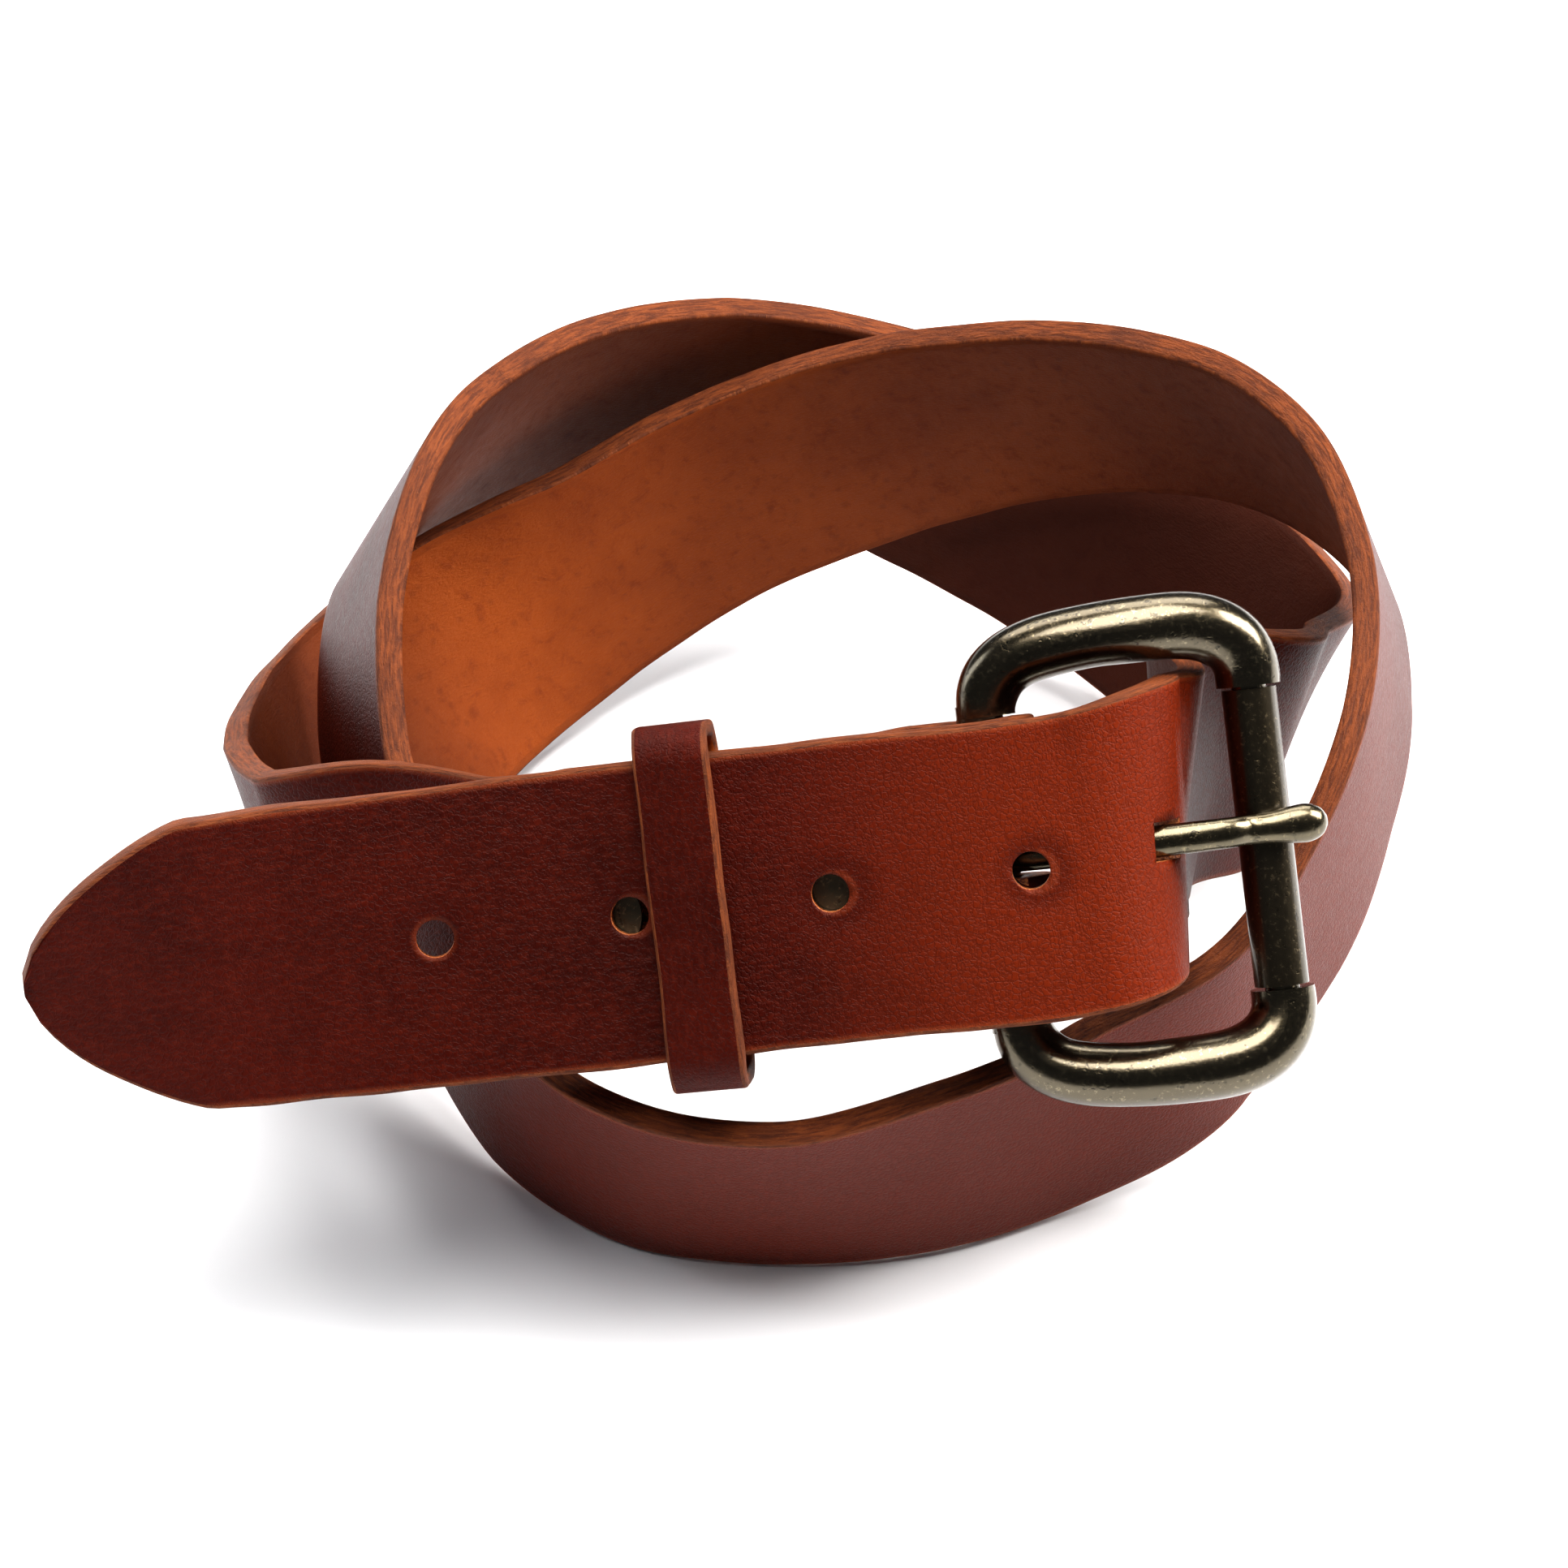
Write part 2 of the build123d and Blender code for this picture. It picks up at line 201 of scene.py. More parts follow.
def smooth_sections(stations, step):
    """Sections (place, ahead, across) on the smooth curve through (place, lean) stations."""
    reach = [0.0]
    for (start, _), (end, _) in zip(stations, stations[1:]):
        reach.append(reach[-1] + (end - start).length)

    def slope(number):
        """Change of place and of lean per millimetre at one station."""
        low = max(number - 1, 0)
        high = min(number + 1, len(stations) - 1)
        parts = []
        for start, end in ((low, number), (number, high)):
            if start == end:
                continue
            run = reach[end] - reach[start]
            move = (stations[end][0] - stations[start][0]) / run
            parts.append((run, move, (stations[end][1] - stations[start][1]) / run))
        if len(parts) == 1:
            return parts[0][1:]
        (run_a, move_a, lean_a), (run_b, move_b, lean_b) = parts
        share = run_b / (run_a + run_b)
        return move_a * share + move_b * (1 - share), lean_a * share + lean_b * (1 - share)

    def on_curve(number, t):
        """Section at a fraction t of the way from one station to the next."""
        run = reach[number + 1] - reach[number]
        place_a, lean_a = stations[number]
        place_b, lean_b = stations[number + 1]
        move_a, turn_a = slope(number)
        move_b, turn_b = slope(number + 1)
        h00 = 2 * t**3 - 3 * t**2 + 1
        h10 = (t**3 - 2 * t**2 + t) * run
        h01 = 3 * t**2 - 2 * t**3
        h11 = (t**3 - t**2) * run
        place = place_a * h00 + move_a * h10 + place_b * h01 + move_b * h11
        lean = lean_a * h00 + turn_a * h10 + lean_b * h01 + turn_b * h11
        d00 = (6 * t**2 - 6 * t) / run
        d10 = 3 * t**2 - 4 * t + 1
        d11 = 3 * t**2 - 2 * t
        ahead = ((place_a - place_b) * d00 + move_a * d10 + move_b * d11).normalized()
        return place, ahead, across_from_lean(ahead, lean)

    out = []
    for number in range(len(stations) - 1):
        count = max(1, round((reach[number + 1] - reach[number]) / step))
        for part in range(count):
            out.append(on_curve(number, part / count))
    out.append(on_curve(len(stations) - 2, 1.0))
    return out


def strap_sections():
    """All sections, from the end of the fold to the tip."""
    flat = lean_from_across(along_u, along_v)
    fold = [(local(u, 0, n), flat) for u, n in fold_stations]
    fold.append((local(0, 0, -fold_outer), flat))
    sections = smooth_sections(fold, section_step)[:-1]
    for turn in range(180, 0, -6):
        a = math.radians(turn)
        place = local(fold_outer * math.sin(a), 0, fold_outer * math.cos(a))
        ahead = along_n * math.sin(a) - along_u * math.cos(a)
        sections.append((place, ahead, along_v))
    sections.append((local(0, 0, fold_outer), -along_u, along_v))
    sections += smooth_sections(stations, section_step)
    return sections


# ---- meshes -------------------------------------------------------------------
def new_object(name, verts, faces, materials, face_material=None, uvs=None):
    """A smooth-shaded mesh object from points in millimetres."""
    mesh = bpy.data.meshes.new(name)
    mesh.from_pydata([v * MM for v in verts], [], faces)
    for material in materials:
        mesh.materials.append(material)
    if face_material:
        mesh.polygons.foreach_set("material_index", face_material)
    mesh.polygons.foreach_set("use_smooth", [True] * len(faces))
    if uvs:
        layer = mesh.uv_layers.new(name="leather")
        flat = [value for uv in uvs for value in uv]
        layer.data.foreach_set("uv", flat)
    mesh.update()
    obj = bpy.data.objects.new(name, mesh)
    bpy.context.scene.collection.objects.link(obj)
    return obj


def leather_profile(columns, thick):
    """Closed outline of a leather strip: (across from -1 to 1, inset in mm, depth in mm, kind of face)."""
    flesh_round = 0.4
    side = []
    for degrees in (30, 60):
        a = math.radians(degrees)
        side.append((-corner * (1 - math.sin(a)), corner * (1 - math.cos(a))))
    for share in (0.0, 0.33, 0.66):
        side.append((0.0, corner + (thick - 1.6 * corner) * share))
    side.append((-0.12, thick - 0.3))

    points = []
    for i in range(columns + 1):
        x = -1 + 2 * i / columns
        inset = -math.copysign(corner, x) if abs(x) == 1 else 0.0
        points.append((x, inset, 0.0, GRAIN))
    for inset, depth in side:
        points.append((1, inset, depth, EDGE))
    for i in range(columns + 1):
        x = 1 - 2 * i / columns
        inset = -math.copysign(flesh_round, x) if abs(x) == 1 else 0.0
        points.append((x, inset, thick, FLESH))
    for inset, depth in reversed(side):
        points.append((-1, -inset, depth, EDGE))
    return points


def distances(sections):
    """Distance along the strip of each section."""
    along = [0.0]
    for before, after in zip(sections, sections[1:]):
        along.append(along[-1] + (after[0] - before[0]).length)
    return along


def strip(name, sections, half_width, thick, columns, materials, wobble=0.0):
    """A closed strip of leather swept through the sections, with grain, edge and flesh materials."""
    wobble_pitch = 0.11
    seam_width = 0.5
    profile = leather_profile(columns, thick)
    size = len(profile)
    verts, faces, kinds, uvs = [], [], [], []
    along = distances(sections)
    across_uv = []
    for number, (place, ahead, across) in enumerate(sections):
        depth_way = ahead.cross(across)
        half = half_width(along[number], along[-1])
        row = []
        for x, inset, depth, _ in profile:
            side = x * half + inset * min(1.0, half / 4)
            if abs(x) == 1:
                uneven = noise.noise(Vector((along[number] * wobble_pitch, x * 7, 0.3)))
                side += math.copysign(wobble, x) * uneven
            verts.append(place + across * side + depth_way * depth)
            row.append(side + math.copysign(depth, x) if abs(x) == 1 else side)
        across_uv.append(row)
    for number in range(len(sections) - 1):
        for i in range(size):
            j = (i + 1) % size
            a, b = number * size + i, number * size + j
            faces.append((a, b, b + size, a + size))
            kinds.append(profile[i][3] if profile[i][3] == profile[j][3] else EDGE)
            v0, v1 = across_uv[number][i], across_uv[number][j]
            if j == 0:
                v1 = across_uv[number][j] - seam_width
            w0, w1 = across_uv[number + 1][i], across_uv[number + 1][j]
            here, there = along[number], along[number + 1]
            uvs += [(here, v0), (here, v1), (there, w1), (there, w0)]
    faces.append(tuple(reversed(range(size))))
    last = (len(sections) - 1) * size
    faces.append(tuple(range(last, last + size)))
    for number, face in ((0, faces[-2]), (len(sections) - 1, faces[-1])):
        kinds.append(EDGE)
        for index in face:
            i = index % size
            uvs.append((along[number] + profile[i][2], across_uv[number][i]))
    return new_object(name, verts, faces, materials, kinds, uvs)


def rod(name, centre, direction, radius, height, material, sides=40):
    """Cylinder used as a punch."""
    side = direction.orthogonal().normalized()
    other = direction.cross(side)
    verts = []
    for z in (-height / 2, height / 2):
        for i in range(sides):
            a = 2 * math.pi * i / sides
            verts.append(centre + direction * z + (side * math.cos(a) + other * math.sin(a)) * radius)
    faces = [(i, (i + 1) % sides, sides + (i + 1) % sides, sides + i) for i in range(sides)]
    faces += [tuple(reversed(range(sides))), tuple(range(sides, 2 * sides))]
    return new_object(name, verts, faces, [material])


def block(name, centre, size, material):
    """Box used as a punch, lying along u, v and n."""
    verts = []
    for z in (-0.5, 0.5):
        for x, y in ((-0.5, -0.5), (0.5, -0.5), (0.5, 0.5), (-0.5, 0.5)):
            verts.append(centre + along_u * x * size[0] + along_v * y * size[1] + along_n * z * size[2])
    faces = [(3, 2, 1, 0), (4, 5, 6, 7), (0, 1, 5, 4), (1, 2, 6, 5), (2, 3, 7, 6), (3, 0, 4, 7)]
    return new_object(name, verts, faces, [material])


def punch(target, cutters):
    """Cuts each cutter out of the target and applies the result."""
    for cutter in cutters:
        change = target.modifiers.new("punch", "BOOLEAN")
        change.operation = "DIFFERENCE"
        change.solver = "EXACT"
        change.material_mode = "TRANSFER"
        change.object = cutter
    bpy.context.view_layer.update()
    shown = target.evaluated_get(bpy.context.evaluated_depsgraph_get())
    mesh = bpy.data.meshes.new_from_object(shown)
    target.modifiers.clear()
    target.data = mesh
    for cutter in cutters:
        bpy.data.objects.remove(cutter)


# ---- materials -----------------------------------------------------------------
class Nodes:
    """Short way to write a material's nodes."""

    def __init__(self, name):
        self.material = bpy.data.materials.new(name)
        self.material.use_nodes = True
        self.tree = self.material.node_tree
        self.shader = self.tree.nodes["Principled BSDF"]

    def add(self, kind, settings=None, **inputs):
        node = self.tree.nodes.new("ShaderNode" + kind)
        for key, value in (settings or {}).items():
            setattr(node, key, value)
        for key, value in inputs.items():
            self.put(node, key, value)
        return node

    def put(self, node, key, value):
        by_number = key[0] == "_" and key[1:].isdigit()
        socket = node.inputs[int(key[1:]) if by_number else key.replace("_", " ")]
        if isinstance(value, bpy.types.NodeSocket):
            self.tree.links.new(value, socket)
        else:
            socket.default_value = value

    def math(self, operation, a, b=0.0, c=0.0):
        return self.add("Math", {"operation": operation}, _0=a, _1=b, _2=c).outputs[0]

    def times(self, a, b):
        return self.math("MULTIPLY", a, b)

    def sum(self, a, b):
        return self.math("ADD", a, b)

    def away_from(self, value, centre):
        return self.math("ABSOLUTE", self.math("SUBTRACT", value, centre))

    def noise(self, vector, scale, detail=3.0, rough=0.5, distortion=0.0):
        node = self.add("TexNoise", Vector=vector, Scale=scale, Detail=detail, Roughness=rough)
        self.put(node, "Distortion", distortion)
        return node.outputs[0]

    def ramp(self, value, low, high):
        """0 up to low and 1 past high; with low above high it falls from 1 to 0."""
        smooth = {"interpolation_type": "SMOOTHSTEP"}
        return self.add("MapRange", smooth, _0=value, _1=low, _2=high, _3=0.0, _4=1.0).outputs[0]

    def fade(self, value, low, high):
        """1 up to low, 0 past high."""
        return self.math("SUBTRACT", 1.0, self.ramp(value, low, high))

    def mix(self, share, a, b):
        node = self.add("Mix", {"data_type": "RGBA"})
        for socket, value in ((node.inputs[0], share), (node.inputs[6], a), (node.inputs[7], b)):
            if isinstance(value, bpy.types.NodeSocket):
                self.tree.links.new(value, socket)
            else:
                socket.default_value = value if isinstance(value, float) else (*value, 1.0)
        return node.outputs[2]

    def stretch(self, vector, x, y, z=1.0):
        return self.add("Mapping", Vector=vector, Scale=(x, y, z)).outputs[0]

    def bump(self, height, distance, strength):
        return self.add("Bump", Height=height, Distance=distance, Strength=strength).outputs[0]

    def finish(self, colour, roughness, normal, level=None):
        """Fills the shader and returns the material."""
        self.put(self.shader, "Base Color", colour)
        self.put(self.shader, "Roughness", roughness)
        self.put(self.shader, "Normal", normal)
        if level is not None:
            self.put(self.shader, "Specular IOR Level", level)
        return self.material

    def leather_place(self):
        """(vector in mm: along, across), along, across."""
        uv = self.add("UVMap", {"uv_map": "leather"}).outputs[0]
        parts = self.add("SeparateXYZ", Vector=uv)
        return uv, parts.outputs[0], parts.outputs[1]


def grain_material(name, hole_at, bend_at, ends):
    """Waxed full grain: fine pebbles, creases at the bend, darker and lighter areas, painted light at the
    bend, a painted sheen on the outer turn, burnished hole rims.
    """
    deep = (0.034, 0.0029, 0.0013)
    middle = (0.062, 0.0054, 0.0020)
    warm = (0.14, 0.016, 0.0048)
    # colour of the painted sheen on the outer turn
    painted_sheen = (0.17, 0.032, 0.018)
    # colour of the bend: partly worked leather, partly painted light
    bent = (0.185, 0.0225, 0.0040)
    sunk = (0.035, 0.0045, 0.0025)
    rim_colour = (0.30, 0.060, 0.022)
    edge_colour = (0.36, 0.085, 0.03)

    n = Nodes(name)
    uv, along, across = n.leather_place()
    broad = n.noise(uv, 0.018, 4.0, 0.55)
    cloudy = n.noise(n.stretch(uv, 0.7, 1.0), 0.11, 4.0, 0.6)
    fibres = n.noise(n.stretch(uv, 1.0, 2.4), 0.55, 4.0, 0.65)
    warp = n.add("TexNoise", Vector=uv, Scale=1.6, Detail=2.0).outputs[1]
    warped = n.add("VectorMath", {"operation": "ADD"}, _0=uv, _1=warp).outputs[0]
    to_edge = {"feature": "DISTANCE_TO_EDGE"}
    cells = n.add("TexVoronoi", to_edge, Vector=warped, Scale=1.25, Randomness=1.0).outputs[0]
    valley = n.ramp(cells, 0.0, 0.20)
    pores = n.noise(uv, 3.4, 2.0, 0.6)

    # the bend is creased across the strap by wear; its warmer, lighter colour is partly wear and partly
    # painted light, where the bend faces the key light
    worked_and_lit_bend = n.fade(n.away_from(along, bend_at), 6.0, 46.0)
    crease_map = n.noise(n.stretch(uv, 1.0, 0.16), 0.42, 3.0, 0.6, 0.8)
    crease = n.ramp(n.away_from(crease_map, 0.5), 0.0, 0.035)

    # distance from the nearest punched hole of the free end
    wrapped = n.math("WRAP", n.math("SUBTRACT", along, hole_at), hole_pitch / 2, -hole_pitch / 2)
    radius = n.math("SQRT", n.sum(n.times(wrapped, wrapped), n.times(across, across)))
    inside = n.times(n.ramp(along, ends[0], ends[0] + 1.0), n.fade(along, ends[1], ends[1] + 1.0))
    rim = n.times(inside, n.fade(radius, 2.5, 3.2))
    stain = n.times(inside, n.fade(radius, 3.0, 6.5))

    # painted sheen: the outer turn is painted lighter, standing in for light from the pale floor on it
    painted_sheen_share = n.times(n.ramp(along, 420.0, 500.0), n.fade(along, 590.0, 650.0))
    # the grain rubs lighter along its edges
    edge = n.ramp(n.math("ABSOLUTE", across), strap_width / 2 - 1.3, strap_width / 2 - 0.3)

    tone = n.sum(n.times(broad, 0.6), n.times(cloudy, 0.4))
    colour = n.mix(n.ramp(tone, 0.36, 0.64), deep, middle)
    colour = n.mix(n.times(n.ramp(fibres, 0.42, 0.72), 0.30), colour, warm)
    colour = n.mix(n.times(painted_sheen_share, 0.55), colour, painted_sheen)
    colour = n.mix(n.times(worked_and_lit_bend, 0.70), colour, bent)
    colour = n.mix(n.times(n.math("SUBTRACT", 1.0, valley), 0.26), colour, sunk)
    colour = n.mix(n.times(stain, 0.45), colour, deep)
    colour = n.mix(n.times(rim, 0.22), colour, rim_colour)
    colour = n.mix(n.times(edge, 0.35), colour, edge_colour)

    height = n.sum(n.times(valley, 0.36), n.times(pores, 0.26))
    height = n.sum(height, n.times(crease, n.times(worked_and_lit_bend, 0.26)))
    height = n.math("SUBTRACT", height, n.times(stain, 1.1))
    height = n.sum(height, n.times(cloudy, 0.8))
    roughness = n.sum(n.times(fibres, 0.26), 0.30)
    return n.finish(colour, roughness, n.bump(height, 0.00016, 0.85), 0.10)


def scaled(colour, share):
    return tuple(value * share for value in colour)


def edge_material(name, light=1.0):
    """Raw cut edge: layered fibres, lighter than the grain."""
    dark_layer = scaled((0.075, 0.017, 0.005), light)
    pale_layer = scaled((0.205, 0.052, 0.012), light)
    fleck = scaled((0.36, 0.115, 0.030), light)
    shade = (0.060, 0.014, 0.006)

    n = Nodes(name)
    uv, _, _ = n.leather_place()
    layers = n.noise(n.stretch(uv, 0.20, 1.6), 1.4, 5.0, 0.68, 0.4)
    flecks = n.noise(n.stretch(uv, 0.6, 1.2), 2.6, 4.0, 0.7)
    broad = n.noise(uv, 0.045, 3.0, 0.5)
    colour = n.mix(n.ramp(layers, 0.34, 0.66), dark_layer, pale_layer)
    colour = n.mix(n.times(n.ramp(flecks, 0.55, 0.74), 0.5), colour, fleck)
    colour = n.mix(n.times(n.ramp(broad, 0.45, 0.65), 0.35), colour, shade)
    height = n.sum(n.times(layers, 0.8), n.times(flecks, 0.7))
    roughness = n.sum(n.times(flecks, 0.2), 0.55)
    return n.finish(colour, roughness, n.bump(height, 0.00042, 0.9), 0.25)


def flesh_material(name, shaded=()):
    """Flesh side: waxed, orange-brown, mottled with dark spots, with painted shade on the stretches that lie
    in shade.
    """
    dark = (0.245, 0.050, 0.0070)
    pale = (0.345, 0.078, 0.0115)
    mottled = (0.155, 0.026, 0.008)
    spotted = (0.10, 0.017, 0.006)
    napped = (0.46, 0.125, 0.022)
    # colour of the painted shade
    painted_shade_colour = (0.035, 0.0060, 0.0028)

    n = Nodes(name)
    uv, along, _ = n.leather_place()
    broad = n.noise(uv, 0.03, 4.0, 0.6)
    mottle = n.noise(uv, 0.32, 5.0, 0.7, 0.4)
    spots = n.add("TexVoronoi", {"feature": "F1"}, Vector=uv, Scale=0.34, Randomness=1.0).outputs[0]
    nap = n.noise(n.stretch(uv, 0.5, 1.3), 2.6, 4.0, 0.7)
    colour = n.mix(n.ramp(broad, 0.30, 0.68), dark, pale)
    colour = n.mix(n.times(n.ramp(mottle, 0.50, 0.72), 0.45), colour, mottled)
    colour = n.mix(n.times(n.fade(spots, 0.06, 0.30), 0.22), colour, spotted)
    colour = n.mix(n.times(n.ramp(nap, 0.5, 0.75), 0.30), colour, napped)
    # painted shade: stretches that lie in shade are painted darker
    for first, full, most in shaded:
        colour = n.mix(n.times(n.ramp(along, first, full), most), colour, painted_shade_colour)
    height = n.sum(n.times(nap, 0.8), mottle)
    roughness = n.sum(n.times(mottle, 0.3), 0.45)
    return n.finish(colour, roughness, n.bump(height, 0.0003, 0.8), 0.15)


def wall_material(name):
    """Wall of a punched hole: bright, burnished, a little waxy."""
    n = Nodes(name)
    fibres = n.noise(n.add("TexCoord").outputs["Object"], 2600.0, 4.0, 0.65)
    colour = n.mix(n.ramp(fibres, 0.4, 0.62), (0.20, 0.045, 0.014), (0.62, 0.21, 0.06))
    return n.finish(colour, 0.45, n.bump(fibres, 0.0003, 0.8))


def metal_material(name, dark, bright, rough, worn, speckle):
    """Antiqued metal: dark patina, worn through to bright specks, softly polished and waxed."""
    half_worn = tuple(0.45 * d + 0.55 * b * worn for d, b in zip(dark, bright))

    n = Nodes(name)
    place = n.add("TexCoord").outputs["Object"]
    cloud = n.noise(place, 130.0, 5.0, 0.6)
    grit = n.noise(place, 1500.0, 4.0, 0.7)
    scratch = n.noise(n.stretch(place, 0.25, 1.0, 1.6), 2200.0, 3.0, 0.6)
    pits = n.ramp(n.noise(place, 900.0, 3.0, 0.6), 0.60, 0.70)
    colour = n.mix(n.ramp(cloud, 0.35, 0.70), dark, half_worn)
    colour = n.mix(n.times(n.ramp(grit, 0.56, 0.68), speckle), colour, bright)
    colour = n.mix(n.times(pits, 0.6), colour, scaled(dark, 0.35))
    height = n.sum(n.times(grit, 0.35), n.times(scratch, 0.25))
    height = n.math("SUBTRACT", height, n.times(pits, 0.5))
    n.put(n.shader, "Metallic", 1.0)
    n.put(n.shader, "Coat Weight", 0.5)
    n.put(n.shader, "Coat Roughness", 0.16)
    roughness = n.sum(n.times(grit, 0.22), rough - 0.11)
    return n.finish(colour, roughness, n.bump(height, 0.00005, 0.8))


# ---- strap --------------------------------------------------------------------
def strap_half_width(along, total):
    """Half width of the strap: round corners at the fold's end, a bowed point at the tip."""
    half = strap_width / 2
    if along < fold_end_round:
        short = fold_end_round - along
        return half - fold_end_round + math.sqrt(max(fold_end_round**2 - short**2, 0.0))
    to_tip = total - along
    if to_tip < tip_point_length:
        t = to_tip / tip_point_length
        round_share = 0.62
        bow = round_share * math.sqrt(t * (2 - t)) + (1 - round_share) * t
        return max(least_half_width, half * bow)
    return half


def nearest_along(sections, along, place):
    """Distance along the strap of the section nearest to a place, in the strap's second half."""
    half_way = len(sections) // 2
    best = min(range(half_way, len(sections)), key=lambda i: (sections[i][0] - place).length)
    return along[best]


def tilted(turn):
    """Direction in the u-n plane, turned from n towards u, in degrees."""
    a = math.radians(turn)
    return along_n * math.cos(a) + along_u * math.sin(a)


hole_places = (
    (-71.0, free_grain + 1.2, 6.4),
    (-46.2, free_grain, 0.0),
    (-20.8, free_grain, 0.0),
    (4.5, free_grain, 0.0),
)
shaft_n = roller_dia / 2 + 0.2 + tongue_thick / 2
hole_turn = math.radians(tongue_hole_turn)
hole_reach = bend_radius - strap_thick / 2
hole_u = bend_start + hole_reach * math.sin(hole_turn)
hole_n = free_grain - bend_radius + hole_reach * math.cos(hole_turn)


def strap_cutters(wall):
    """Punches for the tongue holes, the screw holes, the slot in the fold and the worn hole of the tongue."""
    screw_punch_n = near_grain - 4.2
    slot_size = (14, tongue_slot_width, 14.2)
    worn_size = (14, tongue_width + 1.0, tongue_thick + 2.4)
    cutters = []
    for u, n, turn in hole_places:
        place = local(u, 0, n - strap_thick / 2)
        cutters.append(rod("hole", place, tilted(turn), hole_dia / 2, punch_length, wall))
    for u in screw_places:
        place = local(u, 0, screw_punch_n)
        cutters.append(rod("screw_hole", place, along_n, post_dia / 2 + 0.06, 10.4, wall))
    cutters.append(block("slot", local(0, tongue_v, 0), slot_size, wall))
    place = local(hole_u, tongue_v, hole_n)
    cutters.append(rod("worn_hole", place, tilted(tongue_hole_turn), hole_dia / 2, punch_length, wall))
    cutters.append(block("worn_slot", local(hole_u, tongue_v, shaft_n), worn_size, wall))
    return cutters


def build_strap():
    """The whole strap, from the end of the fold to the tip, with its holes punched."""
    sections = strap_sections()
    along = distances(sections)
    hole_at = nearest_along(sections, along, local(-20.8, 0, free_grain))
    bend_at = nearest_along(sections, along, local(14, 0, free_grain - 1))
    holes_end = (hole_at - 1.5 * hole_pitch - 8, hole_at + 2.5 * hole_pitch - 4)
    # painted shade on the flesh side, on the stretches that lie in shade, the inside of the left turn among
    # them
    painted_shade_stretches = ((290.0, 430.0, 0.66), (780.0, 850.0, 0.80), (282.0, 245.0, 0.84))
    wall = wall_material("strap_hole_wall")
    materials = [
        grain_material("strap_grain", hole_at, bend_at, holes_end),
        edge_material("strap_edge"),
        flesh_material("strap_flesh", painted_shade_stretches),
        wall,
    ]
    strap = strip(
        "strap_leather", sections, strap_half_width, strap_thick, strap_columns, materials, wobble=0.25
    )
    punch(strap, strap_cutters(wall))
    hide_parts("strap")
    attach(strap, "belt")


# ---- keeper -------------------------------------------------------------------
def between(start, end, steps):
    """Points after the start and before the end of a straight run."""
    points = []
    for i in range(1, steps):
        share = i / steps
        points.append((start[0] + (end[0] - start[0]) * share, start[1] + (end[1] - start[1]) * share))
    return points


def keeper_outline(outer_v, outer_n):
    """Rounded loop in v and n, from one side of the seam behind the strap to the other."""
    round_by = 5.2
    flat_steps = 12
    corner_steps = 12
    half_seam = 0.15
    corners = ((1, -1, -90), (1, 1, 0), (-1, 1, 90), (-1, -1, 180))
    outline = [(half_seam, -outer_n)]
    for side_v, side_n, first in corners:
        centre_v = side_v * (outer_v - round_by)
        centre_n = side_n * (outer_n - round_by)
        entry = math.radians(first)
        begin = (centre_v + round_by * math.cos(entry), centre_n + round_by * math.sin(entry))
        outline += between(outline[-1], begin, flat_steps)
        for i in range(corner_steps + 1):
            a = entry + math.radians(90) * i / corner_steps
            outline.append((centre_v + round_by * math.cos(a), centre_n + round_by * math.sin(a)))
    end = (-half_seam, -outer_n)
    outline += between(outline[-1], end, flat_steps)
    outline.append(end)
    return outline


def build_keeper():
    """Leather loop: a strip bent round both layers, butted behind the strap."""
    outer_n = (free_grain - fold_grain + 0.8) / 2 + keeper_thick
    outer_v = (strap_width + 4.4) / 2 + keeper_thick
    middle_n = (free_grain + fold_grain) / 2
    outline = keeper_outline(outer_v, outer_n)
    sections = []
    for i, (v, n) in enumerate(outline):
        before = outline[max(i - 1, 0)]
        after = outline[min(i + 1, len(outline) - 1)]
        ahead = (along_v * (after[0] - before[0]) + along_n * (after[1] - before[1])).normalized()
        # the front of the loop gapes a little at its right side
        share = min(1.0, max(0.0, (n + outer_n) / (2 * outer_n)))
        tilt = math.radians(keeper_gape) * share * share * (3 - 2 * share)
        across = -along_u * math.cos(tilt) - along_n * math.sin(tilt)
        rise = keeper_width / 2 * math.sin(tilt)
        sections.append((local(keeper_place, v, middle_n + n + rise), ahead, across))

    # the keeper has no bend and no holes of its own, so those places lie off its ends
    off_bend = -200.0
    off_holes = (-300.0, -299.0)
    materials = [
        grain_material("keeper_grain", 0.0, off_bend, off_holes),
        edge_material("keeper_edge", 1.05),
        flesh_material("keeper_flesh"),
    ]
    keeper = strip(
        "keeper_leather_loop",
        sections,
        lambda along, total: keeper_width / 2,
        keeper_thick,
        keeper_columns,
        materials,
        wobble=0.22,
    )
    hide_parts("keeper")
    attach(keeper, "keeper")


# ---- tongue -------------------------------------------------------------------
def through(points, first_smooth, steps):
    """Smooth run through the points, with steps between two points from first_smooth on."""
    fine = []
    for i in range(len(points) - 1):
        p0 = points[max(i - 1, 0)]
        p1 = points[i]
        p2 = points[i + 1]
        p3 = points[min(i + 2, len(points) - 1)]
        count = 1 if i < first_smooth else steps
        for k in range(count):
            t = k / count
            point = []
            for a, b, c, d in zip(p0, p1, p2, p3):
                bend = (2 * a - 5 * b + 4 * c - d) * t * t + (3 * b - a - 3 * c + d) * t**3
                point.append(0.5 * (2 * b + (c - a) * t + bend))
            fine.append(tuple(point))
    fine.append(points[-1])
    return fine


